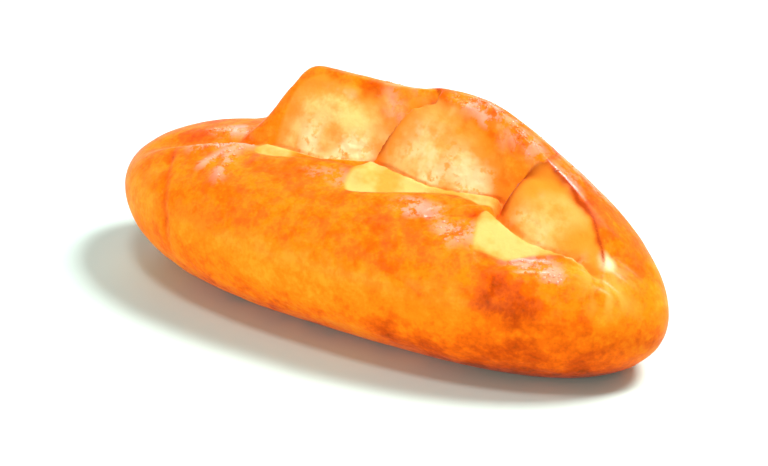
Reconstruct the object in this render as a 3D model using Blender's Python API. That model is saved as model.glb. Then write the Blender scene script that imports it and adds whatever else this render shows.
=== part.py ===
"""Small oblong brioche roll, slashed along its crest before baking.

The body is a proofed oblong with a flat baked underside. Three slanting cuts
opened in the oven, so the far half of the crest stands up as three humps. Each
hump shows a torn face towards the near side, and in front of each face lies a
flap of the near crust that tapers away to the right.

Metres, +Z up. X runs along the loaf and the cut faces look towards -Y. The
origin is on the resting plane, under the middle of the plan outline.
"""
from math import pi

import bmesh
import bpy
import numpy as np
from mathutils import Matrix

# Body
LENGTH = 0.120
WIDTH = 0.0505
BELLY_Z = 0.0149          # height of the widest line
BELLY_DROP = 0.0027       # that line comes down this far towards the right end
CROWN_Z = 0.0294          # height of the plain body without its humps
UNDER_SINK = 0.0030       # how far the tray flattens the round underside
DOME_POWER = 2.19         # section above the widest line
UNDER_POWER = 2.00        # section below it
PLAN_LEFT = (2.88, 0.54)  # plan outline of the left end: power along, power across
PLAN_RIGHT = (2.16, 0.55)
RISE_LEFT, RISE_RIGHT = 3.4, 4.0   # how full the crown stays towards each end

# Crest, which stands on the body on its far side
CREST_HEIGHT = 0.0144
CREST_Y = 0.0080
CREST_DRIFT = 0.0030      # the crest runs back towards the middle on the right
CREST_NEAR = 0.0100       # width of its near flank
CREST_FAR = 0.0156        # width of its far flank
CREST_START = (-0.0350, -0.0215)
CREST_END = (0.0154, 0.0635)
FAR_START = 0.0110        # on the far side the crest starts this much further left
FAR_DIP = 0.0016          # depth of the far valleys between the humps
SWELL_HEIGHT, SWELL_X, SWELL_WIDTH = 0.0022, 0.0130, 0.0130

# Cuts
CUT_DEPTH = 0.0022        # how far a face starts below the body
FACE_BULGE = 0.0020
FACE_RUN = 0.0100         # climb over which a face bulges
FACE_INSET = 0.0005       # the crust stands this far proud of the torn face
RIGHT_SPREAD = 2.5        # a hump reaches this much further right with each step back
FAR_SPREAD = 1.4          # behind the crest a hump widens and joins its neighbours
FLAP_DIP = 0.0009         # a flap dips behind its rim
CREVICE = 0.0030          # and drops into a crevice at the foot of the face
LIP_HEIGHT, LIP_OFFSET, LIP_WIDTH = 0.0011, 0.0020, 0.0022
WALL_Y = 0.0030
WALL_SLOPE = 3.4

# One entry for each cut, left to right:
#   start, run   where the torn face starts along X, and how long its cut is
#   foot         Y of the foot of the face at the start, halfway, and drift after
#   rim          Y of the near edge of the flap at the start and at its end
#   full         part of the run over which the rim closes in
#   lift         how far the back edge of the flap stands up
#   slope        climb of the face
#   arch         rim of the face: X of its top, climb there, then reach and roundness
#                to the left and to the right
#   skin, steep  how much crust the hump has left of the face, and how steep its side is
#   shoulder     point (X, Y, Z) on the glazed slope right of the face
#   fall         fall of that slope along X
#   end, drop    where the hump ends along X, and how steeply
#   slant        slant of the left side of the flap
CUTS = (
    dict(start=-0.0266, run=0.0236, foot=(-0.0022, -0.0024, 0.0034), rim=(-0.0056, -0.0030), full=0.7,
         lift=0.0010, slope=1.75, arch=(-0.0180, 0.0086, 0.0073, 3.6, 0.0170, 2.0), skin=0.0088, steep=2.5,
         shoulder=(-0.0026, 0.0033, 0.0374), fall=0.13, end=0.0080, drop=2.5, slant=0.0),
    dict(start=-0.0040, run=0.0280, foot=(-0.0010, -0.0028, 0.0028), rim=(-0.0100, -0.0030), full=0.8,
         lift=0.0016, slope=2.10, arch=(0.0080, 0.0086, 0.0110, 2.0, 0.0183, 1.45), skin=0.0012, steep=6.0,
         shoulder=(0.0186, 0.0039, 0.0402), fall=0.30, end=0.0290, drop=2.4, slant=0.0),
    dict(start=0.0245, run=0.0220, foot=(-0.0056, -0.0085, 0.0022), rim=(-0.0172, -0.0068), full=1.3,
         lift=0.0012, slope=0.90, arch=(0.0340, 0.0122, 0.0067, 2.6, 0.0152, 1.6), skin=0.0014, steep=5.0,
         shoulder=(0.0412, 0.0019, 0.0390), fall=0.22, end=0.0500, drop=1.8, slant=0.5),
)

# Shallow features of the near crust: groove behind the left end, crease at the
# right end, and the fold under the tip of the second flap
TAIL_GROOVE = dict(y=-0.0016, drift=0.15, depth=0.0015, width=0.0028)
NOSE_CREASE = dict(y=-0.0056, drift=0.10, depth=0.0010, width=0.0016)
FOLD = dict(x=0.0143, y=-0.0111, length=0.0130, depth=0.0007, width=0.0009, angle=0.806)

# Mesh
SLICES, RING = 400, 340
VOXEL = 0.0007
FACES_KEPT = 0.095


def ease(low, high, value):
    """Go from 0 at low to 1 at high, with a soft start and a soft end."""
    t = np.clip((value - low) / (high - low), 0, 1)
    return t * t * (3 - 2 * t)


def bell(offset, width):
    return np.exp(-(offset / width) ** 2)


def soft_min(a, b, radius):
    """Lower one of two heights, with the edge between them rounded."""
    mix = np.clip(0.5 + 0.5 * (b - a) / radius, 0, 1)
    return b * (1 - mix) + a * mix - radius * mix * (1 - mix)


def soft_max(a, b, radius):
    return -soft_min(-a, -b, radius)


def along(x):
    """Distance from the middle as a part of the half length."""
    return np.clip(np.abs(x) / (LENGTH / 2), 0, 1)


def half_width(x):
    left = (1 - along(x) ** PLAN_LEFT[0]) ** PLAN_LEFT[1]
    right = (1 - along(x) ** PLAN_RIGHT[0]) ** PLAN_RIGHT[1]
    return WIDTH / 2 * np.where(x < 0, left, right)


def rise(x):
    """Share of the body's height that is left at x."""
    return np.sqrt(1 - along(x) ** np.where(x < 0, RISE_LEFT, RISE_RIGHT))


def belly(x):
    """Height of the widest line."""
    return BELLY_Z - BELLY_DROP * np.where(x > 0, along(x) ** 2, 0)


def body(x, y):
    """Height of the plain body without its cuts."""
    across = np.clip(np.abs(y) / np.maximum(half_width(x), 1e-6), 0, 1)
    return belly(x) + (CROWN_Z - BELLY_Z) * rise(x) * (1 - across ** DOME_POWER) ** (1 / DOME_POWER)


def crest(x, y):
    """Height of the uncut crust over the far side of the body."""
    far = ease(0.008, 0.022, y)
    start = ease(CREST_START[0] - FAR_START * far, CREST_START[1] + 0.4 * FAR_START * far, x)
    height = CREST_HEIGHT * start * (1 - ease(*CREST_END, x))
    height = height + SWELL_HEIGHT * bell(x - SWELL_X, SWELL_WIDTH)
    offset = y - CREST_Y + CREST_DRIFT * ease(0.005, 0.038, x)
    height = height * bell(offset, np.where(offset < 0, CREST_NEAR, CREST_FAR))
    valleys = sum(bell(x - cut["start"] - 0.3 * (y - CREST_Y), 0.0050) for cut in CUTS[1:])
    return body(x, y) + height - FAR_DIP * far * (1 - ease(0.020, 0.026, y)) * valleys


def part_of_run(x, cut):
    return (x - cut["start"]) / cut["run"]


def foot_line(x, cut):
    """Y of the crevice where a face meets its flap."""
    t = part_of_run(x, cut)
    first, second, drift = cut["foot"]
    return first + (second - first) * ease(0, 0.5, t) + drift * ease(0.5, 1.1, t)


def rim_line(x, cut):
    """Y of the near edge of a flap."""
    first, last = cut["rim"]
    return first + (last - first) * ease(0, cut["full"], part_of_run(x, cut))


def flap_mask(x, y, cut):
    """1 over the run of a flap, with a slanting left side and a faded right end."""
    left = cut["start"] - 0.0008 + cut["slant"] * np.maximum(foot_line(x, cut) - 0.001 - y, 0)
    return ease(-0.0006, 0.0008, x - left) * (1 - ease(1.0, 1.14, part_of_run(x, cut)))


def flap(x, y, cut):
    """Change of height that a flap makes, with its lip in front and crevice behind."""
    rim, foot = rim_line(x, cut), foot_line(x, cut)
    t = np.clip(part_of_run(x, cut), 0, 1)
    s = np.clip((y - rim) / np.maximum(foot - rim, 0.0008), 0, 1)
    surface = ease(-0.0005, 0.0006, y - rim) * (cut["lift"] * s ** 1.5 - FLAP_DIP * (1 - s) * (1 - 0.7 * t))
    drop = (CREVICE + cut["lift"]) * ease(-0.0003, 0.0007, y - foot)
    lip = LIP_HEIGHT * (0.35 + 0.65 * t) * bell(y - rim + LIP_OFFSET, LIP_WIDTH)
    return flap_mask(x, y, cut) * (surface - drop + lip)


def left_rim(climb, cut):
    """X of the left side of the arch that bounds a torn face."""
    top_x, top, reach, roundness = cut["arch"][:4]
    return top_x - reach * (1 - np.clip(climb / top, 0, 0.97) ** roundness) ** (1 / roundness)


def inside_arch(x, climb, cut):
    """Above 0 on the torn face, 0 on its rim and below 0 outside, in metres."""
    top_x, top, left, left_roundness, right, right_roundness = cut["arch"]
    power = np.where(x < top_x, left_roundness, right_roundness)
    across = np.abs(x - top_x) / np.where(x < top_x, left, right)
    return top * (1 - (across ** power + np.clip(climb / top, 0, None) ** power) ** (1 / power))


def hump_sides(x, y, cut):
    """Heights of the torn face, the left side, the glazed shoulder and the right end."""
    base = body(x, y) - CUT_DEPTH
    climb = y - foot_line(x, cut)
    t = np.clip(part_of_run(x, cut), 0, 1)
    bulge = FACE_BULGE * np.sin(pi * np.clip(climb / FACE_RUN, 0, 1)) * 4 * t * (1 - t)
    face = base + climb * cut["slope"] + bulge
    behind = np.maximum(y - CREST_Y, 0)
    left = base + (x - left_rim(climb, cut) + cut["skin"] + FAR_SPREAD * behind) * cut["steep"]
    sx, sy, sz = cut["shoulder"]
    shoulder = sz - cut["fall"] * (x - sx) + (y - sy)
    right = base + (cut["end"] - x + RIGHT_SPREAD * np.maximum(y - 0.001, 0)) * cut["drop"]
    return face, left, shoulder, right


def torn(x, y, cut):
    """1 on the torn crumb of a face, 0 on the crust round it."""
    climb = y - foot_line(x, cut)
    return ease(-0.0002, 0.0009, inside_arch(x, climb, cut)) * ease(-0.0010, 0.0005, climb)


def hump(x, y, cut):
    face, left, shoulder, right = hump_sides(x, y, cut)
    height = soft_min(crest(x, y), shoulder, 0.0030)
    height = soft_min(height, face, 0.0032)
    height = soft_min(height, right, 0.0030)
    return soft_min(height, left, 0.0016) - FACE_INSET * torn(x, y, cut)


def far_wall(x, y):
    """The crust that joins the humps behind, set back from their faces."""
    base = body(x, y) - CUT_DEPTH
    wall = base + (y - WALL_Y + 0.003 * ease(0.005, 0.038, x)) * WALL_SLOPE
    left = base + (x + 0.033 + FAR_SPREAD * np.maximum(y - CREST_Y, 0)) * 2.0
    return soft_min(soft_min(crest(x, y) - 0.0004, wall, 0.003), left, 0.003)


def shallow_marks(x, y):
    """Tail groove with its near ridge, nose crease and the fold under the second flap."""
    line = TAIL_GROOVE["y"] + TAIL_GROOVE["drift"] * (x + 0.031)
    groove = bell(y - line, TAIL_GROOVE["width"]) - 0.45 * bell(y - line + 0.0045, 0.0025)
    groove = groove * TAIL_GROOVE["depth"] * ease(-0.056, -0.046, x) * (1 - ease(-0.031, -0.027, x))
    line = NOSE_CREASE["y"] + NOSE_CREASE["drift"] * (x - 0.050)
    crease = NOSE_CREASE["depth"] * bell(y - line, NOSE_CREASE["width"]) * ease(0.044, 0.048, x)
    dx, dy = x - FOLD["x"], y - FOLD["y"]
    u = dx * np.cos(FOLD["angle"]) + dy * np.sin(FOLD["angle"])
    v = dy * np.cos(FOLD["angle"]) - dx * np.sin(FOLD["angle"])
    ends = ease(0.0, 0.003, u) * (1 - ease(FOLD["length"] - 0.003, FOLD["length"], u))
    return -groove - crease - FOLD["depth"] * bell(v, FOLD["width"]) * ends


def top(x, y):
    """Height of the finished upper surface."""
    near = body(x, y) + shallow_marks(x, y) + sum(flap(x, y, cut) for cut in CUTS)
    height = soft_max(near, far_wall(x, y), 0.0015)
    for cut in CUTS:
        height = soft_max(height, hump(x, y, cut), 0.0006)
    return height


def shape(points):
    """Move the points of a unit sphere, poles at the loaf's ends, onto the loaf."""
    sx, sy, sz = points.T
    x = LENGTH / 2 * sx
    ring = np.maximum(np.hypot(sy, sz), 1e-9)
    across, height = sy / ring, sz / ring
    upper = height >= 0
    power = np.where(upper, DOME_POWER, UNDER_POWER)
    across = np.sign(across) * np.abs(across) ** (2 / power)
    height = np.abs(height) ** (2 / power)
    y = half_width(x) * across
    low = belly(x) - (BELLY_Z + UNDER_SINK) * rise(x) * height
    high = belly(x) + (CROWN_Z - BELLY_Z) * rise(x) * height
    high = high + (top(x, y) - body(x, y)) * (1 - np.abs(across) ** 8)
    return np.stack([x, y, np.where(upper, high, low)], axis=1)


def crust_material():
    material = bpy.data.materials.new("crust")
    material.use_nodes = True
    shader = material.node_tree.nodes["Principled BSDF"]
    shader.inputs["Base Color"].default_value = (0.80, 0.33, 0.06, 1)
    shader.inputs["Roughness"].default_value = 0.4
    shader.inputs["Metallic"].default_value = 0.0
    return material


def get_points(mesh):
    points = np.empty(len(mesh.vertices) * 3)
    mesh.vertices.foreach_get("co", points)
    return points.reshape(-1, 3)


def make_loaf():
    # A fine sphere takes the shape, and is then remeshed and thinned out
    mesh = bpy.data.meshes.new("fine loaf")
    sphere = bmesh.new()
    bmesh.ops.create_uvsphere(sphere, u_segments=RING, v_segments=SLICES, radius=1,
                              matrix=Matrix.Rotation(pi / 2, 4, "Y"))
    sphere.to_mesh(mesh)
    sphere.free()
    mesh.vertices.foreach_set("co", shape(get_points(mesh)).ravel())
    mesh.update()
    fine = bpy.data.objects.new("fine loaf", mesh)
    bpy.context.scene.collection.objects.link(fine)
    remesh = fine.modifiers.new("even faces", "REMESH")
    remesh.mode = "VOXEL"
    remesh.voxel_size = VOXEL
    smooth = fine.modifiers.new("soften", "SMOOTH")
    smooth.factor, smooth.iterations = 0.5, 3
    thin = fine.modifiers.new("fewer faces", "DECIMATE")
    thin.ratio = FACES_KEPT
    loaf_mesh = bpy.data.meshes.new_from_object(fine.evaluated_get(bpy.context.evaluated_depsgraph_get()))
    bpy.data.objects.remove(fine)

    # The tray flattens the underside
    points = get_points(loaf_mesh)
    points[:, 2] = np.maximum(points[:, 2], 0)
    loaf_mesh.vertices.foreach_set("co", points.ravel())
    loaf_mesh.update()
    loaf_mesh.name = "loaf"
    loaf_mesh.shade_smooth()
    loaf_mesh.materials.clear()
    loaf_mesh.materials.append(crust_material())
    loaf = bpy.data.objects.new("loaf", loaf_mesh)
    bpy.context.scene.collection.objects.link(loaf)
    return loaf


for old in list(bpy.data.objects):
    bpy.data.objects.remove(old)
make_loaf()
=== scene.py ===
# %% [markdown]
# # Mini brioche roll
# A small oblong roll, brushed with egg and slashed along its crest. In the oven
# the slashes opened into three humps with pale torn faces. It is one piece of
# dough, so one mesh makes it all. Masks on the mesh tell the glazed crust, the
# torn faces and the smooth flaps apart, and relief and colour both follow them.

# %% Frame and tools
from math import cos, pi, radians, sin

import bmesh
import bpy
import numpy as np
from mathutils import Matrix, Vector


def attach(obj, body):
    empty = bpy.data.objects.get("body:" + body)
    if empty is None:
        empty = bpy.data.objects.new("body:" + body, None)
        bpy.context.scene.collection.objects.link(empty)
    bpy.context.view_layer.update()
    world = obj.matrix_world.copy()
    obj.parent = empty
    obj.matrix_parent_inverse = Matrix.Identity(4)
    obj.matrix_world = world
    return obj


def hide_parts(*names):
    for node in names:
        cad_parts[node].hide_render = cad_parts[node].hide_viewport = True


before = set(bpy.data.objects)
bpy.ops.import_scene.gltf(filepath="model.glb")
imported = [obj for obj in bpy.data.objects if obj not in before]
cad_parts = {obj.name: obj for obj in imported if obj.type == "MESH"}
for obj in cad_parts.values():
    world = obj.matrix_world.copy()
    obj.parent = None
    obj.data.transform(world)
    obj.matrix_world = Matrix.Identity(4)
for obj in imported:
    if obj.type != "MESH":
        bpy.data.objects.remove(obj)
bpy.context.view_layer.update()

# %% [markdown]
# ## Camera
# The roll lies at an angle and is seen from above with a long lens, so its two
# ends look almost the same size. Azimuth and elevation are named, because the
# whole view follows from those two angles.

# %% Camera
AZIMUTH, ELEVATION, DISTANCE = radians(31.3), radians(27.65), 0.60
TARGET = Vector((-0.00105, 0, 0.0153))
LENS, SENSOR = 143.8, 36
towards_camera = Vector((sin(AZIMUTH) * cos(ELEVATION), -cos(AZIMUTH) * cos(ELEVATION),
                         sin(ELEVATION)))

camera = bpy.data.objects.new("camera", bpy.data.cameras.new("camera"))
bpy.context.scene.collection.objects.link(camera)
camera.location = TARGET + towards_camera * DISTANCE
camera.rotation_mode = "QUATERNION"
camera.rotation_quaternion = towards_camera.to_track_quat("Z", "Y")
camera.data.lens, camera.data.sensor_width = LENS, SENSOR
bpy.context.scene.camera = camera
bpy.context.scene.view_settings.view_transform = "Standard"
print("camera at", [round(v, 3) for v in camera.location])

# %% [markdown]
# ## Light and floor
# A strong lamp behind and to the right throws the shadow to the near left. A low
# wide panel in front fills the near side but only grazes the table, so the
# shadow stays deep. A panel behind and a small one overhead draw the soft
# highlights on ridges and lips. The table and the light of the room are a
# little green, or the roll would turn its own shadow red.

# %% Lamps, room light and floor
LAMPS = (   # name, place, width, height, watts, colour
    ("back lamp", (0.42, 0.42, 0.95), 0.34, 0.34, 16.0, (1.00, 0.98, 0.98)),
    ("top panel", (0.02, -0.18, 1.00), 0.24, 0.16, 2.6, (1.00, 0.95, 0.98)),
    ("back panel", (-0.55, 0.91, 0.56), 0.80, 0.50, 3.6, (1.00, 0.94, 0.98)),
    ("front panel", (-0.40, -1.60, 0.30), 2.00, 0.36, 16.5, (1.00, 1.00, 0.96)),
)
ROOM_COLOUR, ROOM_STRENGTH = (0.88, 1.0, 0.92, 1), 0.28
TABLE_COLOUR, TABLE_HALF = (0.70, 0.87, 0.81, 1), 2      # half its side in metres
for name, place, width, height, watts, colour in LAMPS:
    lamp = bpy.data.objects.new(name, bpy.data.lights.new(name, "AREA"))
    bpy.context.scene.collection.objects.link(lamp)
    lamp.location = place
    lamp.rotation_mode = "QUATERNION"
    lamp.rotation_quaternion = Vector(place).to_track_quat("Z", "Y")
    lamp.data.shape, lamp.data.size, lamp.data.size_y = "RECTANGLE", width, height
    lamp.data.energy, lamp.data.color = watts, colour

world = bpy.data.worlds.new("room")
bpy.context.scene.world = world
world.use_nodes = True
background = world.node_tree.nodes["Background"]
background.inputs["Color"].default_value = ROOM_COLOUR
background.inputs["Strength"].default_value = ROOM_STRENGTH

floor_mesh = bpy.data.meshes.new("floor")
corners = [(TABLE_HALF * i, TABLE_HALF * j, 0) for i, j in ((-1, -1), (1, -1), (1, 1), (-1, 1))]
floor_mesh.from_pydata(corners, [], [(0, 1, 2, 3)])
floor = bpy.data.objects.new("floor", floor_mesh)
bpy.context.scene.collection.objects.link(floor)
floor_material = bpy.data.materials.new("floor")
floor_material.use_nodes = True
floor_shader = floor_material.node_tree.nodes["Principled BSDF"]
floor_shader.inputs["Base Color"].default_value = TABLE_COLOUR
floor_shader.inputs["Roughness"].default_value = 0.9
floor_shader.inputs["Specular IOR Level"].default_value = 0.1
floor_mesh.materials.append(floor_material)

# %% [markdown]
# ## Sizes of the form
# The real roll is a proofed oblong whose crest stands on its far side. The
# three cuts are one table, because every cut leaves the same things behind: a
# flap in front, a torn face, an upright left side and a glazed shoulder.

# %% Sizes
# Body
LENGTH = 0.120
WIDTH = 0.0505
BELLY_Z = 0.0149          # height of the widest line
BELLY_DROP = 0.0027       # that line comes down this far towards the right end
CROWN_Z = 0.0294          # height of the plain body without its humps
UNDER_SINK = 0.0030       # how far the tray flattens the round underside
DOME_POWER = 2.19         # section above the widest line
UNDER_POWER = 2.00        # section below it
PLAN_LEFT = (2.88, 0.54)  # plan outline of the left end: power along, power across
PLAN_RIGHT = (2.16, 0.55)
RISE_LEFT, RISE_RIGHT = 3.4, 4.0   # how full the crown stays towards each end

# Crest, which stands on the body on its far side
CREST_HEIGHT = 0.0144
CREST_Y = 0.0080
CREST_DRIFT = 0.0030      # the crest runs back towards the middle on the right
CREST_NEAR = 0.0100       # width of its near flank
CREST_FAR = 0.0156        # width of its far flank
CREST_START = (-0.0350, -0.0215)
CREST_END = (0.0154, 0.0635)
FAR_START = 0.0110        # on the far side the crest starts this much further left
FAR_SIDE = (0.008, 0.022)  # Y over which the far side begins
DRIFT_RUN = (0.005, 0.038)  # X over which the crest drifts
VALLEY_DEPTH = 0.0016     # far valleys between the humps
VALLEY_SLANT, VALLEY_WIDTH, VALLEY_END = 0.3, 0.0050, (0.020, 0.026)
SWELL_HEIGHT, SWELL_X, SWELL_WIDTH = 0.0022, 0.0130, 0.0130

# Cuts
CUT_DEPTH = 0.0022        # how far a face starts below the body
FACE_BULGE = 0.0020
FACE_RUN = 0.0100         # climb over which a face bulges
FACE_INSET = 0.0005       # the crust stands this far proud of the torn face
RIGHT_SPREAD = 2.5        # a hump reaches this much further right with each step back
FAR_SPREAD = 1.4          # behind the crest a hump widens and joins its neighbours
FLAP_DIP = 0.0009         # a flap dips behind its rim
CREVICE = 0.0030          # and drops into a crevice at the foot of the face
LIP_HEIGHT, LIP_OFFSET, LIP_WIDTH = 0.0011, 0.0020, 0.0022
FLAP_START = 0.0012       # a flap begins this far left of its cut
FLAP_FADE = (1.0, 1.14)   # part of the run over which it ends
FLAP_ROUND = 0.0018       # rounding of its left end

# Wall of crust that joins the humps behind
WALL_Y, WALL_SLOPE = 0.0030, 3.4
WALL_LEFT, WALL_SIDE = -0.033, 2.0   # X of its left end, and how steep it is there
WALL_INSET = 0.0004

# Rounding where two surfaces meet
CREST_ROUND, FACE_ROUND, SIDE_ROUND = 0.0030, 0.0032, 0.0016
WALL_ROUND, JOIN_ROUND = 0.0015, 0.0006

# One entry for each cut, left to right:
#   start, run   where the torn face starts along X, and how long its cut is
#   foot         Y of the foot of the face at the start, halfway, and drift after
#   rim          Y of the near edge of the flap at the start and at its end
#   full         part of the run over which the rim closes in
#   lift         how far the back edge of the flap stands up
#   slope        climb of the face
#   arch         rim of the face: X of its top, climb there, then reach and roundness
#                to the left and to the right
#   skin, steep  how much crust the hump has left of the face, and how steep its side is
#   shoulder     point (X, Y, Z) on the glazed slope right of the face
#   fall         fall of that slope along X
#   end, drop    where the hump ends along X, and how steeply
#   slant        slant of the left side of the flap
CUTS = (
    dict(start=-0.0266, run=0.0236, foot=(-0.0022, -0.0024, 0.0034), rim=(-0.0056, -0.0030), full=0.7,
         lift=0.0010, slope=1.75, arch=(-0.0180, 0.0086, 0.0073, 3.6, 0.0170, 2.0), skin=0.0088, steep=2.5,
         shoulder=(-0.0026, 0.0033, 0.0374), fall=0.13, end=0.0080, drop=2.5, slant=0.0),
    dict(start=-0.0040, run=0.0280, foot=(-0.0010, -0.0028, 0.0028), rim=(-0.0100, -0.0030), full=0.8,
         lift=0.0016, slope=2.10, arch=(0.0080, 0.0086, 0.0110, 2.0, 0.0183, 1.45), skin=0.0012, steep=6.0,
         shoulder=(0.0186, 0.0039, 0.0402), fall=0.30, end=0.0290, drop=2.4, slant=0.0),
    dict(start=0.0245, run=0.0220, foot=(-0.0056, -0.0085, 0.0022), rim=(-0.0172, -0.0068), full=1.3,
         lift=0.0012, slope=0.90, arch=(0.0340, 0.0122, 0.0067, 2.6, 0.0152, 1.6), skin=0.0014, steep=5.0,
         shoulder=(0.0412, 0.0019, 0.0390), fall=0.22, end=0.0500, drop=1.8, slant=0.5),
)

# Shallow features of the near crust: groove behind the left end, crease at the
# right end, and the fold under the tip of the second flap
TAIL_GROOVE = dict(x=-0.031, y=-0.0016, drift=0.15, depth=0.0015, width=0.0028,
                   ridge=0.45, ridge_offset=0.0045, ridge_width=0.0025)
NOSE_CREASE = dict(x=0.050, y=-0.0056, drift=0.10, depth=0.0010, width=0.0016)
FOLD = dict(x=0.0143, y=-0.0111, length=0.0130, depth=0.0007, width=0.0009, angle=0.806)

# %% [markdown]
# ## Heights over the table
# Modelling the humps by hand would take many loops. Here each surface is a
# height over the table instead: the lower of crest, shoulder, face and sides is
# a hump, and the higher of near crust and humps is the finished top. Soft
# minimum and maximum round the edges where they meet.

# %% Heights
def ease(low, high, value):
    """Go from 0 at low to 1 at high, with a soft start and a soft end."""
    t = np.clip((value - low) / (high - low), 0, 1)
    return t * t * (3 - 2 * t)


def bell(offset, width):
    """1 in the middle, falling softly to 0 past the width on both sides."""
    return np.exp(-(offset / width) ** 2)


def soft_min(a, b, radius):
    """Lower one of two heights, with the edge between them rounded."""
    mix = np.clip(0.5 + 0.5 * (b - a) / radius, 0, 1)
    return b * (1 - mix) + a * mix - radius * mix * (1 - mix)


def soft_max(a, b, radius):
    """Higher one of two heights, with the edge between them rounded."""
    return -soft_min(-a, -b, radius)


def along(x):
    """Distance from the middle as a part of the half length."""
    return np.clip(np.abs(x) / (LENGTH / 2), 0, 1)


def half_width(x):
    """Half the width of the plan outline at x."""
    left = (1 - along(x) ** PLAN_LEFT[0]) ** PLAN_LEFT[1]
    right = (1 - along(x) ** PLAN_RIGHT[0]) ** PLAN_RIGHT[1]
    return WIDTH / 2 * np.where(x < 0, left, right)


def rise(x):
    """Share of the body's height that is left at x."""
    return np.sqrt(1 - along(x) ** np.where(x < 0, RISE_LEFT, RISE_RIGHT))


def belly(x):
    """Height of the widest line."""
    return BELLY_Z - BELLY_DROP * np.where(x > 0, along(x) ** 2, 0)


def body(x, y):
    """Height of the plain body without its cuts."""
    across = np.clip(np.abs(y) / np.maximum(half_width(x), 1e-6), 0, 1)
    return belly(x) + (CROWN_Z - BELLY_Z) * rise(x) * (1 - across ** DOME_POWER) ** (1 / DOME_POWER)


def crest_drift(x):
    """How far the crest has run back towards the middle."""
    return CREST_DRIFT * ease(*DRIFT_RUN, x)


def crest(x, y):
    """Height of the uncut crust over the far side of the body."""
    far = ease(*FAR_SIDE, y)
    start = ease(CREST_START[0] - FAR_START * far, CREST_START[1] + 0.4 * FAR_START * far, x)
    height = CREST_HEIGHT * start * (1 - ease(*CREST_END, x))
    height = height + SWELL_HEIGHT * bell(x - SWELL_X, SWELL_WIDTH)
    offset = y - CREST_Y + crest_drift(x)
    height = height * bell(offset, np.where(offset < 0, CREST_NEAR, CREST_FAR))
    valleys = sum(bell(x - cut["start"] - VALLEY_SLANT * (y - CREST_Y), VALLEY_WIDTH)
                  for cut in CUTS[1:])
    return body(x, y) + height - VALLEY_DEPTH * far * (1 - ease(*VALLEY_END, y)) * valleys


def part_of_run(x, cut):
    """0 where a cut starts and 1 where it ends."""
    return (x - cut["start"]) / cut["run"]


def foot_line(x, cut):
    """Y of the crevice where a face meets its flap."""
    t = part_of_run(x, cut)
    first, second, drift = cut["foot"]
    return first + (second - first) * ease(0, 0.5, t) + drift * ease(0.5, 1.1, t)


def rim_line(x, cut):
    """Y of the near edge of a flap."""
    first, last = cut["rim"]
    return first + (last - first) * ease(0, cut["full"], part_of_run(x, cut))


def flap_mask(x, y, cut):
    """1 over the run of a flap, with a slanting left side and a faded right end."""
    rim, foot = rim_line(x, cut), foot_line(x, cut)
    middle = np.clip(2 * (y - rim) / np.maximum(foot - rim, 0.0008) - 1, -1, 1)
    slant = cut["slant"] * np.maximum(foot - 0.001 - y, 0)
    left = cut["start"] - FLAP_START + slant + FLAP_ROUND * np.abs(middle) ** 3
    return ease(-0.0006, 0.0008, x - left) * (1 - ease(*FLAP_FADE, part_of_run(x, cut)))


def flap(x, y, cut):
    """Change of height that a flap makes, with its lip in front and crevice behind."""
    rim, foot = rim_line(x, cut), foot_line(x, cut)
    t = np.clip(part_of_run(x, cut), 0, 1)
    s = np.clip((y - rim) / np.maximum(foot - rim, 0.0008), 0, 1)
    dip = FLAP_DIP * (1 - s) * (1 - 0.7 * t)
    surface = ease(-0.0005, 0.0006, y - rim) * (cut["lift"] * s ** 1.5 - dip)
    drop = (CREVICE + cut["lift"]) * ease(-0.0003, 0.0007, y - foot)
    lip = LIP_HEIGHT * (0.35 + 0.65 * t) * bell(y - rim + LIP_OFFSET, LIP_WIDTH)
    return flap_mask(x, y, cut) * (surface - drop + lip)


def left_rim(climb, cut):
    """X of the left side of the arch that bounds a torn face."""
    top_x, top, reach, roundness = cut["arch"][:4]
    return top_x - reach * (1 - np.clip(climb / top, 0, 0.97) ** roundness) ** (1 / roundness)


def inside_arch(x, climb, cut):
    """Above 0 on the torn face, 0 on its rim and below 0 outside, in metres."""
    top_x, top, left, left_roundness, right, right_roundness = cut["arch"]
    power = np.where(x < top_x, left_roundness, right_roundness)
    across = np.abs(x - top_x) / np.where(x < top_x, left, right)
    return top * (1 - (across ** power + np.clip(climb / top, 0, None) ** power) ** (1 / power))


def hump_sides(x, y, cut):
    """Heights of the torn face, the left side, the glazed shoulder and the right end."""
    base = body(x, y) - CUT_DEPTH
    climb = y - foot_line(x, cut)
    t = np.clip(part_of_run(x, cut), 0, 1)
    bulge = FACE_BULGE * np.sin(pi * np.clip(climb / FACE_RUN, 0, 1)) * 4 * t * (1 - t)
    face = base + climb * cut["slope"] + bulge
    behind = np.maximum(y - CREST_Y, 0)
    left = base + (x - left_rim(climb, cut) + cut["skin"] + FAR_SPREAD * behind) * cut["steep"]
    sx, sy, sz = cut["shoulder"]
    shoulder = sz - cut["fall"] * (x - sx) + (y - sy)
    right = base + (cut["end"] - x + RIGHT_SPREAD * np.maximum(y - 0.001, 0)) * cut["drop"]
    return face, left, shoulder, right


def torn(x, y, cut):
    """1 on the torn crumb of a face, 0 on the crust round it."""
    climb = y - foot_line(x, cut)
    return ease(-0.0002, 0.0009, inside_arch(x, climb, cut)) * ease(-0.0010, 0.0005, climb)


def hump(x, y, cut):
    """Height of one hump, the lowest of its surfaces."""
    face, left, shoulder, right = hump_sides(x, y, cut)
    height = soft_min(crest(x, y), shoulder, CREST_ROUND)
    height = soft_min(height, face, FACE_ROUND)
    height = soft_min(height, right, CREST_ROUND)
    return soft_min(height, left, SIDE_ROUND) - FACE_INSET * torn(x, y, cut)


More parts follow.
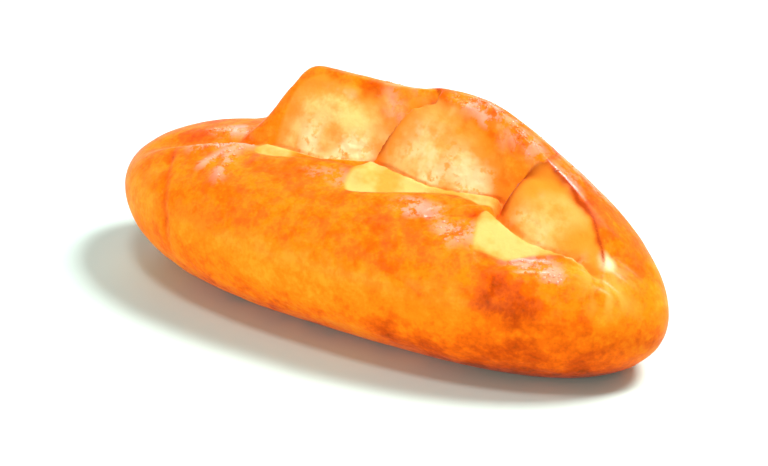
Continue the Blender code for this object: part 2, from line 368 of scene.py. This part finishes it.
def far_wall(x, y):
    """The crust that joins the humps behind, set back from their faces."""
    base = body(x, y) - CUT_DEPTH
    wall = base + (y - WALL_Y + crest_drift(x)) * WALL_SLOPE
    left = base + (x - WALL_LEFT + FAR_SPREAD * np.maximum(y - CREST_Y, 0)) * WALL_SIDE
    height = soft_min(crest(x, y) - WALL_INSET, wall, CREST_ROUND)
    return soft_min(height, left, CREST_ROUND)


def shallow_marks(x, y):
    """Tail groove with its near ridge, nose crease and the fold under the second flap."""
    tail = TAIL_GROOVE
    line = tail["y"] + tail["drift"] * (x - tail["x"])
    ridge = tail["ridge"] * bell(y - line + tail["ridge_offset"], tail["ridge_width"])
    groove = (bell(y - line, tail["width"]) - ridge) * tail["depth"]
    groove = groove * ease(-0.056, -0.046, x) * (1 - ease(-0.031, -0.027, x))
    line = NOSE_CREASE["y"] + NOSE_CREASE["drift"] * (x - NOSE_CREASE["x"])
    crease = NOSE_CREASE["depth"] * bell(y - line, NOSE_CREASE["width"]) * ease(0.044, 0.048, x)
    dx, dy = x - FOLD["x"], y - FOLD["y"]
    u = dx * np.cos(FOLD["angle"]) + dy * np.sin(FOLD["angle"])
    v = dy * np.cos(FOLD["angle"]) - dx * np.sin(FOLD["angle"])
    ends = ease(0.0, 0.003, u) * (1 - ease(FOLD["length"] - 0.003, FOLD["length"], u))
    return -groove - crease - FOLD["depth"] * bell(v, FOLD["width"]) * ends


def top(x, y):
    """Height of the finished upper surface."""
    near = body(x, y) + shallow_marks(x, y) + sum(flap(x, y, cut) for cut in CUTS)
    height = soft_max(near, far_wall(x, y), WALL_ROUND)
    for cut in CUTS:
        height = soft_max(height, hump(x, y, cut), JOIN_ROUND)
    return height


def shape(points):
    """Move the points of a unit sphere, poles at the loaf's ends, onto the loaf."""
    sx, sy, sz = points.T
    x = LENGTH / 2 * sx
    ring = np.maximum(np.hypot(sy, sz), 1e-9)
    across, height = sy / ring, sz / ring
    upper = height >= 0
    power = np.where(upper, DOME_POWER, UNDER_POWER)
    across = np.sign(across) * np.abs(across) ** (2 / power)
    height = np.abs(height) ** (2 / power)
    y = half_width(x) * across
    low = belly(x) - (BELLY_Z + UNDER_SINK) * rise(x) * height
    high = belly(x) + (CROWN_Z - BELLY_Z) * rise(x) * height
    high = high + (top(x, y) - body(x, y)) * (1 - np.abs(across) ** 8)
    return np.stack([x, y, np.where(upper, high, low)], axis=1)

# %% [markdown]
# ## Mesh
# A sphere with its poles at the roll's ends takes the form point by point.
# Voxel remeshing then spreads its faces evenly, also over the steep sides where
# the sphere's rings are pulled apart.

# %% Fine mesh
SLICES, RING, VOXEL = 420, 360, 0.00048


def get_points(mesh, attribute="co"):
    """Places of a mesh's points, or their normals, one row for each."""
    points = np.empty(len(mesh.vertices) * 3)
    mesh.vertices.foreach_get(attribute, points)
    return points.reshape(-1, 3)


def evaluated(owner):
    """Plain mesh of an object with its modifiers applied."""
    return bpy.data.meshes.new_from_object(owner.evaluated_get(bpy.context.evaluated_depsgraph_get()))


mesh = bpy.data.meshes.new("shaped sphere")
sphere = bmesh.new()
bmesh.ops.create_uvsphere(sphere, u_segments=RING, v_segments=SLICES, radius=1,
                          matrix=Matrix.Rotation(pi / 2, 4, "Y"))
sphere.to_mesh(mesh)
sphere.free()
mesh.vertices.foreach_set("co", shape(get_points(mesh)).ravel())
mesh.update()
crude = bpy.data.objects.new("shaped sphere", mesh)
bpy.context.scene.collection.objects.link(crude)
remesh = crude.modifiers.new("even faces", "REMESH")
remesh.mode, remesh.voxel_size = "VOXEL", VOXEL
smooth = crude.modifiers.new("soften", "SMOOTH")
smooth.factor, smooth.iterations = 0.5, 2   # takes the steps of the voxels away
loaf_mesh = evaluated(crude)
bpy.data.objects.remove(crude)
print("fine mesh:", len(loaf_mesh.vertices), "points")

# %% [markdown]
# ## Masks
# Each mask answers one question for every point. Is it torn face, the blush of
# crust beside one, rim, flap, open crumb, or crust under egg wash? A face only
# counts where the surface really is that hump, so the test compares heights.
# Torn edges are ragged, so crossing waves push the edge of each face about.

# %% Masks
points = get_points(loaf_mesh)
x, y, z = points.T
up = get_points(loaf_mesh, "normal")[:, 2]
upper = ease(0.017, 0.021, z)

# One entry for each cut, left to right:
#   growth    how far the pale part goes past the arch
#   rough     how ragged the right side of the face is
#   reach     how far crust colour spreads into the face
#   flap_end  part of the cut over which its flap shows
#   trim      how much later the flap's colour starts than its rim, at TRIM_AT
#   rim       how dark the rim of the face is, left and right
TRIM_AT = (0.17, 0.41, 0.58, 0.80, 0.93)
NO_TRIM = (0, 0, 0, 0, 0)
CUT_LOOKS = (
    dict(growth=0.0013, rough=0.0009, reach=0.0055, flap_end=0.36, trim=NO_TRIM, rim=(0.0, 0.15)),
    dict(growth=0.0005, rough=0.0007, reach=0.0050, flap_end=1.08, trim=NO_TRIM, rim=(1.0, 0.25)),
    dict(growth=0.0003, rough=0.0004, reach=0.0190, flap_end=0.98,
         trim=(0.0030, 0.0012, 0.0020, 0.0024, 0.0047), rim=(0.9, 1.0)),
)


def waves(points, length):
    """Smooth unevenness, mostly between -1 and 1, from four crossing waves."""
    directions = np.array([(1.0, 0.6, 0.3), (-0.5, 1.1, 0.7), (0.4, -0.8, 1.2), (1.3, 0.2, -0.9)])
    return np.sin(points @ directions.T / length + np.array([0.3, 1.7, 4.1, 2.6])).sum(axis=1) / 3


ragged = waves(points, 0.0016) + 0.5 * waves(points, 0.0006)
masks = {name: np.zeros(len(x)) for name in ("torn", "blush", "rim", "flap", "crumb")}
for cut, look in zip(CUTS, CUT_LOOKS):
    top_x = cut["arch"][0]
    climb, t = y - foot_line(x, cut), part_of_run(x, cut)
    off_hump = np.abs(hump(x, y, cut) - z)
    on_hump = (1 - ease(0.0008, 0.0024, off_hump)) * upper
    near_hump = (1 - ease(0.0016, 0.0040, off_hump)) * (1 - ease(0.0090, 0.0110, y)) * upper

    # The pale face, soft on the right where it tore slowly
    right_side = ease(-0.002, 0.004, x - top_x)
    grown = look["growth"] * ease(-0.005, 0, x - top_x)
    arch = inside_arch(x, climb, cut) + grown + look["rough"] * ragged * (0.2 + 0.8 * right_side)
    soft = 0.0005 + 0.0012 * right_side
    pale = ease(-0.3 * soft, soft, arch) * ease(-0.0020, -0.0006, climb)

    # Dark rims: a band on its left side, a thin line on its right, and the flap's edge
    from_edge = x - left_rim(climb, cut) + cut["skin"]
    left_band = bell(from_edge - 0.0012, 0.0007 + 0.07 * np.clip(climb, 0, 0.01))
    left_band = left_band * ease(0.0010, 0.0030, climb) * (1 - right_side)
    right_band = bell(arch, 0.0006) * ease(0.001, 0.005, climb) * ease(-0.004, 0.001, x - top_x)
    dark_left, dark_right = look["rim"]
    near_edge = rim_line(x, cut) + np.interp(t, TRIM_AT, look["trim"])
    border = bell(y - near_edge + 0.0003, 0.00045) * flap_mask(x, y, cut) * (1 - ease(0.9, 1.0, t))

    # The flap, and the crevice behind it, which is pale as well
    flap_area = ease(-0.0002, 0.0005, y - near_edge) * (1 - ease(0.0002, 0.0014, climb))
    flap_area = flap_area * (1 - ease(look["flap_end"] - 0.14, look["flap_end"], t))
    crevice = ease(-0.0008, 0.0002, climb) * (1 - ease(0.0018, 0.0026, climb))
    crevice = crevice * ease(0.02, 0.10, t) * (1 - ease(0.92, 1.02, t))
    on_flap = flap_mask(x, y, cut) * upper

    open_run = ease(0.15, 0.4, t) * (1 - ease(0.8, 1.0, t))
    found = dict(torn=np.maximum(pale * on_hump, crevice * on_flap),
                 blush=(1 - ease(0.0004, look["reach"], arch)) * on_hump,
                 rim=(dark_left * left_band + dark_right * right_band) * near_hump
                 + 0.35 * border * upper,
                 flap=flap_area * on_flap,
                 crumb=bell(climb - 0.0014, 0.0022) * on_hump * open_run)
    for name, values in found.items():
        masks[name] = np.maximum(masks[name], values)
masks["torn"] *= 1 - masks["flap"]
masks["crumb"] *= masks["torn"] * ease(-0.3, 0.4, waves(points, 0.0020))
crust_share = (1 - masks["torn"]) * (1 - masks["flap"])
masks["glaze"] = ease(0.2, 0.75, up) * ease(0.014, 0.024, z) * crust_share


def store(mesh, name, values):
    """Keep one number for each point of a mesh under a name."""
    layer = mesh.attributes.get(name) or mesh.attributes.new(name, "FLOAT", "POINT")
    layer.data.foreach_set("value", np.asarray(values, dtype=np.float32))


for name, values in masks.items():
    store(loaf_mesh, name, values)
    print(name, "share", round(float(values.mean()), 4))

# %% [markdown]
# ## Folds
# Shaping the dough leaves folds: a forked ridge near the left end, a crease
# round that end, one under the tip of the second flap, and rays where the last
# cut runs out at the right. Each is a line in space, and nearby points move in
# or out along their normals. The far side has two shallow ones as well. Egg
# wash pools on the ridges and on the lips, so the gloss is found here too. The
# gloss sets the coat, and it also places a painted pink highlight in the crust
# colour.

# %% Folds
# A crease's depth also darkens the crust colour there, as painted shade.
FOLDS = (   # name, depth (below 0 for a ridge), width, points in millimetres
    ("crease round the end", 0.42, 1.0,
     ((-45.5, -7, 26), (-44.1, -10.7, 25.1), (-41.3, -16.6, 22.4), (-38.7, -20.6, 18.2), (-37, -21.5, 9))),
    ("fork, near prong", -0.60, 1.3,
     ((-28, -2.5, 29.3), (-31, -5.5, 28.6), (-31.2, -9, 28.1), (-30.4, -13, 26.7), (-29.2, -17.4, 24.8))),
    ("fork, left prong", -0.45, 1.1, ((-31, -5.5, 28.6), (-33.9, -9.8, 27.4), (-36.5, -14, 25.4))),
    ("fork, far prong", -0.30, 1.2, ((-29.5, -3.5, 29), (-36, -6.5, 28), (-43, -8.5, 26.3))),
    ("lip of the second flap", -0.50, 2.0,
     ((8.5, -10.5, 28.3), (13, -9.2, 28.7), (18, -7.4, 29), (23, -5.2, 28.9))),
    ("fold over that lip", 0.45, 0.7,
     ((14.6, -11.8, 27.9), (15.4, -9.9, 28.2), (18, -8.8, 28.5), (22.5, -7.2, 28.7), (25.5, -5, 28.3))),
    ("crease on the near side", 0.22, 0.8,
     ((9.5, -21.8, 22.5), (16.4, -22.9, 20.4), (20.8, -23.1, 18.6), (25.1, -22.9, 16.5))),
    ("near ray", 0.16, 1.3, ((47.5, -5, 24), (50.2, -7.4, 21.6), (52, -10.5, 17.8))),
    ("middle ray", 0.12, 1.1, ((49, -2.4, 23.8), (53, -1.8, 20.9), (56.5, -1.6, 16.8))),
    ("far side, left", 0.22, 1.0, ((-30, 21, 21), (-16, 24, 18), (2, 24.8, 16.5))),
    ("far side, right", 0.20, 0.9, ((18, 23.5, 17), (33, 20.2, 17), (42, 16.5, 16))),
)
# Gloss: the coat follows it, and so does a painted pink highlight in the crust colour.
GLOSS_BASE = 0.03
GLOSS = (   # centre and radii in millimetres, strength
    ((12.5, -9.8, 28.4), (6, 3.0, 3), 1.0), ((22.5, -11.5, 27.2), (6.5, 4.0, 3), 0.9),
    ((38.5, -12, 24.8), (9.5, 3.4, 3), 1.0), ((17, 7.2, 43.5), (8, 2.6, 5), 1.0),
    ((27, 5.2, 40), (7, 3, 4), 0.7), ((36, 4, 36), (9, 2.4, 4.5), 0.5),
    ((-37, 2, 28), (7, 3.5, 3), 0.9), ((50, -5, 22.5), (7, 5, 4), 0.15),
    ((2, 12.0, 42), (22, 4.5, 5), 0.55), ((33, 10.5, 34), (15, 5, 8), 0.55),
    ((-7, -7.5, 29), (9, 2.5, 3), 0.5), ((-3.5, 6.8, 39.5), (4.5, 3, 4), 0.9),
)
MM = 0.001


def distance_to_line(points, line):
    """Distance of every point from a line, and how far along it the nearest place is."""
    nearest = np.full(len(points), np.inf)
    along_line = np.zeros(len(points))
    for k, (a, b) in enumerate(zip(line[:-1], line[1:])):
        step = b - a
        t = np.clip((points - a) @ step / (step @ step), 0, 1)
        away = np.linalg.norm(points - a - t[:, None] * step, axis=1)
        closer = away < nearest
        nearest = np.where(closer, away, nearest)
        along_line = np.where(closer, (k + t) / (len(line) - 1), along_line)
    return nearest, along_line


fold = np.zeros(len(x))
gloss = np.full(len(x), GLOSS_BASE)
in_mm = points / MM
for centre, radii, strength in GLOSS:
    away = np.linalg.norm((in_mm - centre) / radii, axis=1)
    gloss = np.maximum(gloss, strength * (1 - ease(0.25, 1.2, away + 0.25 * waves(points, 0.0012))))
for name, depth, width, line in FOLDS:
    away, along_line = distance_to_line(in_mm, np.array(line, dtype=float))
    fade = np.minimum(ease(0.0, 0.12, along_line), 1 - ease(0.75, 1.0, along_line))
    fold = fold - depth * MM * fade * bell(away, width)
    # Forked ridges are glossy, so they take the painted pink highlight too.
    if name.startswith("fork"):
        gloss = np.maximum(gloss, 0.9 * fade * bell(away, 1.2 * width))
store(loaf_mesh, "fold", fold)
store(loaf_mesh, "gloss", gloss * crust_share * ease(0.1, 0.5, up))
print("folds from", round(float(fold.min() / MM), 2), "to", round(float(fold.max() / MM), 2), "mm")

# %% [markdown]
# ## Node helper
# Shader and geometry nodes share their maths nodes. One small class wraps a
# socket, so a formula reads like a formula instead of a list of links. Relief
# and blisters are each a node group, whose sizes are its named inputs.

# %% Node helper


class Value:
    """A socket that can be added, scaled and compared like a number."""

    def __init__(self, tree, socket):
        self.tree, self.socket = tree, socket

    def node(self, kind, settings=None, inputs=None, output=0):
        node = self.tree.nodes.new(kind)
        for key, value in (settings or {}).items():
            setattr(node, key, value)
        for key, value in (inputs or {}).items():
            if isinstance(value, Value):
                self.tree.links.new(value.socket, node.inputs[key])
            else:
                node.inputs[key].default_value = value
        return Value(self.tree, node.outputs[output])

    def math(self, operation, other, reverse=False):
        first, second = (other, self) if reverse else (self, other)
        return self.node("ShaderNodeMath", {"operation": operation}, {0: first, 1: second})

    def __add__(self, other): return self.math("ADD", other)
    def __sub__(self, other): return self.math("SUBTRACT", other)
    def __mul__(self, other): return self.math("MULTIPLY", other)
    def __rsub__(self, other): return self.math("SUBTRACT", other, reverse=True)
    __radd__, __rmul__ = __add__, __mul__

    def maximum(self, other): return self.math("MAXIMUM", other)

    def ease(self, low, high):
        """Go from 0 at low to 1 at high, with soft ends."""
        return self.node("ShaderNodeMapRange", {"interpolation_type": "SMOOTHSTEP"},
                         {0: self, 1: low, 2: high}, 0)

    def mix(self, low, high):
        """Blend two colours by this value."""
        return self.node("ShaderNodeMix", {"data_type": "RGBA"}, {0: self, 6: low, 7: high}, 2)

    def noise(self, scale, detail=2.0, roughness=0.5, shift=0.0):
        """Smooth noise about 0.5 at this place; another shift gives another pattern."""
        spot = self.node("ShaderNodeVectorMath", {"operation": "ADD"},
                         {0: self, 1: (shift, shift, shift)})
        return self.node("ShaderNodeTexNoise", {}, {"Vector": spot, "Scale": scale, "Detail": detail,
                                                    "Roughness": roughness})

    def stored(self, name):
        """A number that a mesh keeps for each point, read in a node group."""
        return self.node("GeometryNodeInputNamedAttribute", {"data_type": "FLOAT"}, {"Name": name})


def open_group(name, sizes):
    """Start a node group and give back its inputs: the geometry and the sizes by name."""
    group = bpy.data.node_groups.new(name, "GeometryNodeTree")
    group.interface.new_socket("Geometry", in_out="INPUT", socket_type="NodeSocketGeometry")
    for label, size in sizes.items():
        socket = group.interface.new_socket(label, in_out="INPUT", socket_type="NodeSocketFloat")
        socket.default_value = size
    group.interface.new_socket("Geometry", in_out="OUTPUT", socket_type="NodeSocketGeometry")
    start = group.nodes.new("NodeGroupInput")
    return (Value(group, start.outputs[0]),
            {label: Value(group, start.outputs[label]) for label in sizes})


def close_group(last):
    """Send the last geometry of a node group out of it, and give back the group."""
    last.tree.links.new(last.socket, last.tree.nodes.new("NodeGroupOutput").inputs[0])
    return last.tree


def apply_group(owner, group):
    """Run a node group on an object and keep the result as its plain mesh."""
    owner.modifiers.new(group.name, "NODES").node_group = group
    result = evaluated(owner)
    owner.modifiers.clear()
    owner.data = result
    return result

# %% [markdown]
# ## Relief
# The glazed crust is a little uneven and puckers towards the tray. The torn
# faces are soft and lumpy, and only at their feet, where they tore last, does
# the crumb lie open in small holes. Geometry nodes move the points themselves,
# because real relief shows at the outline too.

# %% Relief
RELIEF_SIZES = {"Unevenness": 0.00040, "Lumps": 0.00060, "Crumb": 0.00070, "Pucker": 0.00022,
                "Wrinkles": 0.00018}
surface, sizes = open_group("relief", RELIEF_SIZES)
where = surface.node("GeometryNodeInputPosition")
height = where.node("ShaderNodeSeparateXYZ", inputs={0: where}, output=2)
lumps = (where.noise(190.0, 2.0) - 0.5) * 1.6 + (where.noise(75.0, 1.0, shift=2.0) - 0.5) * 1.4
crumb = (where.noise(900.0, 3.0, 0.65) - 0.55) * 2.4
uneven = (where.noise(55.0, 1.0, shift=4.0) - 0.5) * 1.8
uneven = uneven + (where.noise(150.0, 1.0, shift=6.0) - 0.5) * 0.6
pucker = (where.noise(230.0, 3.0, shift=8.0) - 0.5) * 2.4 * height.ease(0.015, 0.004)
wrinkles = (where.noise(380.0, 2.0, shift=11.0) - 0.5) * 2.4
lift = (uneven * sizes["Unevenness"] + surface.stored("torn") * lumps * sizes["Lumps"]
        + surface.stored("crumb") * crumb * sizes["Crumb"] + pucker * sizes["Pucker"]
        + surface.stored("gloss") * wrinkles * sizes["Wrinkles"] + surface.stored("fold"))
lift = lift * height.ease(0.0004, 0.0040)      # nothing moves where the roll stands
outward = surface.node("GeometryNodeInputNormal")
offset = surface.node("ShaderNodeVectorMath", {"operation": "SCALE"}, {0: outward, "Scale": lift})
moved = surface.node("GeometryNodeSetPosition", {}, {"Geometry": surface, "Offset": offset})

loaf = bpy.data.objects.new("loaf_surface", loaf_mesh)
bpy.context.scene.collection.objects.link(loaf)
finished = apply_group(loaf, close_group(moved))
points = get_points(finished)
points[:, 2] = np.maximum(points[:, 2], 0)      # the tray flattens the underside
finished.vertices.foreach_set("co", points.ravel())
finished.update()
finished.shade_smooth()
print("loaf:", len(finished.polygons), "faces, tallest point", round(float(points[:, 2].max()), 4))

# %% [markdown]
# ## Crust colours
# One number says how far the crust has baked, from light golden to burnt, and
# five colours follow it. It is higher on top and in a broad brown patch on the
# near right. Painted shade raises it as well: in the creases, towards the tray,
# most of all low on the near right, and in a thin line where the roll stands.
# Faces are cream with orange clouds, flaps are yellow, and a painted pink
# highlight stands for the egg wash shining where the light catches it.

# %% Crust material
material = bpy.data.materials.new("crust")
material.use_nodes = True
tree = material.node_tree
shader = tree.nodes["Principled BSDF"]
place = Value(tree, tree.nodes.new("ShaderNodeTexCoord").outputs["Object"])
high = place.node("ShaderNodeSeparateXYZ", inputs={0: place}, output=2)


def mask(name):
    """A number that the mesh keeps for each point, read in the shader."""
    return place.node("ShaderNodeAttribute", {"attribute_name": name}, output=2)


def spot(centre, radii):
    """1 at a centre given in millimetres, fading to 0 on an ellipsoid round it."""
    shift = [-c / r for c, r in zip(centre, radii)]
    scaled = place.node("ShaderNodeVectorMath", {"operation": "MULTIPLY_ADD"},
                        {0: place, 1: [1 / MM / r for r in radii], 2: shift})
    length = place.node("ShaderNodeVectorMath", {"operation": "LENGTH"}, {0: scaled}, output=1)
    return length.ease(1.0, 0.25)


GOLDEN, AMBER, ORANGE = (0.98, 0.33, 0.014, 1), (0.96, 0.225, 0.003, 1), (0.93, 0.145, 0.001, 1)
BROWN, BURNT = (0.64, 0.070, 0.0005, 1), (0.32, 0.042, 0.0005, 1)
RIM_BROWN = (0.46, 0.050, 0.001, 1)
CREAM, PEACH, BLUSH = (0.98, 0.58, 0.180, 1), (0.97, 0.36, 0.065, 1), (0.96, 0.27, 0.020, 1)
YELLOW, PALE_YELLOW = (0.98, 0.36, 0.050, 1), (0.98, 0.54, 0.15, 1)
# The pink below is a painted highlight of the egg wash, not a colour of the crust.
WHITE_CRUMB, PAINTED_HIGHLIGHT_PINK = (0.98, 0.82, 0.44, 1), (0.97, 0.45, 0.33, 1)
BAKED_AND_SHADED = (   # centre and radii in millimetres, and how much further the crust is baked there; the first spot is painted shade
    ((42, -14, 4), (32, 18, 15), 0.52),        # near side, right end, low down: painted shade
    ((-19, -9, 28), (12, 6, 5), 0.25),         # below the first flap
    ((-8.4, 7.5, 41.8), (4, 3, 3.5), 0.45),    # saddle between the first two humps
    ((-45, -1, 26), (6, 4, 5), 0.35),          # top of the left end
    ((-57, 0, 14), (8, 16, 12), 0.25),         # tip of the left end
    ((50, -5, 22), (8, 6, 6), -0.30),          # pale rays on the right end
)
PATCH = (((37, -18.5, 19.5), (12, 7, 7), 0.75), ((46, -15, 17), (10, 7, 7), 0.30))   # brown patch
STEPS = (   # the crust goes over into each colour between two amounts of baking and painted shade
    (0.00, 0.40, AMBER), (0.35, 0.70, ORANGE), (0.58, 1.10, BROWN), (1.00, 1.45, BURNT),
)
SHINE = {"Coat Roughness": 0.23, "Specular IOR Level": 0.03, "Sheen Weight": 0.15,
         "Sheen Roughness": 0.35, "Sheen Tint": (1.0, 0.72, 0.74, 1), "Subsurface Weight": 0.10,
         "Subsurface Radius": (1.0, 0.40, 0.12), "Subsurface Scale": 0.002}

# How far the crust has baked, with painted shade added towards the tray and in creases
clouds = place.noise(48.0, 3.0, 0.55, shift=1.0)
mottle = place.noise(170.0, 4.0, 0.6, shift=2.0)
freckles = place.noise(560.0, 3.0, 0.6, shift=6.0)
blotches = place.noise(105.0, 3.0, 0.65, shift=10.0).ease(0.50, 0.68)
# low is 1 near the tray: there it adds painted shade, and the brown blotches
low = high.ease(0.020, 0.008)
bake_and_shade = clouds.ease(0.30, 0.70) * 0.30 + (mottle - 0.5) * 1.10 + (freckles - 0.5) * 0.75 + 0.08
bake_and_shade = bake_and_shade + (place.noise(1500.0, 2.0, shift=14.0) - 0.5) * 0.40
bake_and_shade = bake_and_shade + low * 0.22 + low * blotches * 0.32
# The glaze makes the top more baked; creases are darkened by their depth as painted shade.
bake_and_shade = bake_and_shade + mask("glaze") * 0.30 - mask("fold").math("MINIMUM", 0.0) * 900.0
for centre, radii, strength in PATCH:
    bake_and_shade = bake_and_shade + spot(centre, radii) * strength * (mottle + 0.45)
for centre, radii, strength in BAKED_AND_SHADED:
    bake_and_shade = bake_and_shade + spot(centre, radii) * strength
# Painted shade: darker in a band above the tray and in a thin line where the roll stands
bake_and_shade = bake_and_shade + high.ease(0.0070, 0.0010) * 0.30 + high.ease(0.0016, 0.0004) * 0.35

# Crust, a painted pink highlight on its glossy egg wash, and the rays and white crumb on the right end
crust = GOLDEN
for start, end, darker in STEPS:
    crust = bake_and_shade.ease(start, end).mix(crust, darker)
# Painted highlight: pink laid into the colour where the gloss is high, in patches.
painted_highlight = mask("gloss") * place.noise(300.0, 4.0, 0.7, shift=15.0).ease(0.44, 0.55)
crust = (painted_highlight * 0.65).mix(crust, PAINTED_HIGHLIGHT_PINK)
ray_start = place.node("ShaderNodeVectorMath", {"operation": "SUBTRACT"},
                       {0: place, 1: (0.0480, -0.0020, 0.0250)})
ray_way = ray_start.node("ShaderNodeVectorMath", {"operation": "NORMALIZE"}, {0: ray_start})
rays = ray_way.noise(3.6, 1.5, shift=5.0).ease(0.40, 0.62)
crust = (spot((51.5, -6, 21), (10, 8, 7)) * rays * 0.9).mix(crust, YELLOW)
crust = spot((48.9, -2.6, 24.2), (3.2, 2.6, 2.6)).mix(crust, WHITE_CRUMB)

# Torn faces, flaps and rims
face = place.noise(130.0, 4.0, 0.65, shift=3.0).ease(0.40, 0.62).mix(CREAM, PEACH)
face = (place.noise(95.0, 4.0, 0.7, shift=13.0).ease(0.52, 0.66) * 0.5).mix(face, WHITE_CRUMB)
blush = mask("blush") * 0.8 + (place.noise(85.0, 2.0, shift=9.0) - 0.5) * 1.4
face = blush.ease(0.10, 0.95).mix(face, BLUSH)
open_crumb = mask("crumb") * place.noise(520.0, 3.0, 0.6, shift=4.0).ease(0.38, 0.50)
face = open_crumb.mix(face, WHITE_CRUMB)
flap_colour = place.noise(170.0, 3.0, shift=7.0).ease(0.38, 0.62).mix(YELLOW, PALE_YELLOW)
colour = mask("torn").mix(crust, face)
colour = mask("flap").mix(colour, flap_colour)
colour = (mask("rim") * (mottle + 0.55)).mix(colour, RIM_BROWN)
tree.links.new(colour.socket, shader.inputs["Base Color"])

# Shine, subsurface light and grain
pale = mask("torn").maximum(mask("flap"))
coat = mask("gloss") * place.noise(150.0, 2.0, shift=12.0).ease(0.25, 0.50)
tree.links.new((0.50 + pale * 0.20).socket, shader.inputs["Roughness"])
tree.links.new(coat.socket, shader.inputs["Coat Weight"])
for name, value in SHINE.items():
    shader.inputs[name].default_value = value
grain = place.noise(1100.0, 3.0) * 0.4 + place.noise(420.0, 2.0) * 0.6
bump = place.node("ShaderNodeBump", {}, {"Strength": 0.60, "Distance": 0.0004, "Height": grain})
tree.links.new(bump.socket, shader.inputs["Normal"])
loaf.data.materials.clear()
loaf.data.materials.append(material)

# %% [markdown]
# ## Blisters
# Steam lifts the egg wash into tiny blisters, mostly on the lips in front of
# the flaps and on the ridges. Modelling each would be slow, so geometry nodes
# scatter flattened domes over the glazed points with a fixed seed.

# %% Blisters
BLISTER_SIZES = {"Smallest": 0.00010, "Largest": 0.00036, "Per square metre": 1400000.0}
FLATNESS = 0.55
skin, sizes = open_group("blisters", BLISTER_SIZES)
where = skin.node("GeometryNodeInputPosition")
clusters = where.noise(110.0, 1.0, shift=9.0).ease(0.45, 0.60) * skin.stored("gloss").ease(0.3, 0.8)
scatter = skin.node("GeometryNodeDistributePointsOnFaces", {"distribute_method": "RANDOM"},
                    {"Mesh": skin, "Density": clusters * sizes["Per square metre"], "Seed": 7})
turned = Value(skin.tree, scatter.socket.node.outputs["Rotation"])
size = skin.node("FunctionNodeRandomValue", {"data_type": "FLOAT"},
                 {"Min": sizes["Smallest"], "Max": sizes["Largest"], "Seed": 3}, 1)
dome = skin.node("GeometryNodeMeshIcoSphere", {}, {"Radius": 1.0, "Subdivisions": 2})
flat = skin.node("GeometryNodeTransform", {}, {"Geometry": dome, "Scale": (1, 1, FLATNESS)})
placed = skin.node("GeometryNodeInstanceOnPoints", {},
                   {"Points": scatter, "Instance": flat, "Rotation": turned, "Scale": size})
real = skin.node("GeometryNodeRealizeInstances", {}, {"Geometry": placed})
smoothed = skin.node("GeometryNodeSetShadeSmooth", {}, {"Geometry": real})
painted = skin.node("GeometryNodeSetMaterial", {}, {"Geometry": smoothed, "Material": material})

blisters = bpy.data.objects.new("glaze_blisters", finished.copy())
bpy.context.scene.collection.objects.link(blisters)
dots = apply_group(blisters, close_group(painted))
# Blisters count as glossy, so the painted pink highlight falls on them as well.
for name in ("glaze", "gloss"):
    store(dots, name, np.ones(len(dots.vertices)))
print("blisters:", len(dots.polygons), "faces")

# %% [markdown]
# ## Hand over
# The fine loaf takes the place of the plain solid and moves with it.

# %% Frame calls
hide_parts("loaf")
for piece in (loaf, blisters):
    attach(piece, "root")
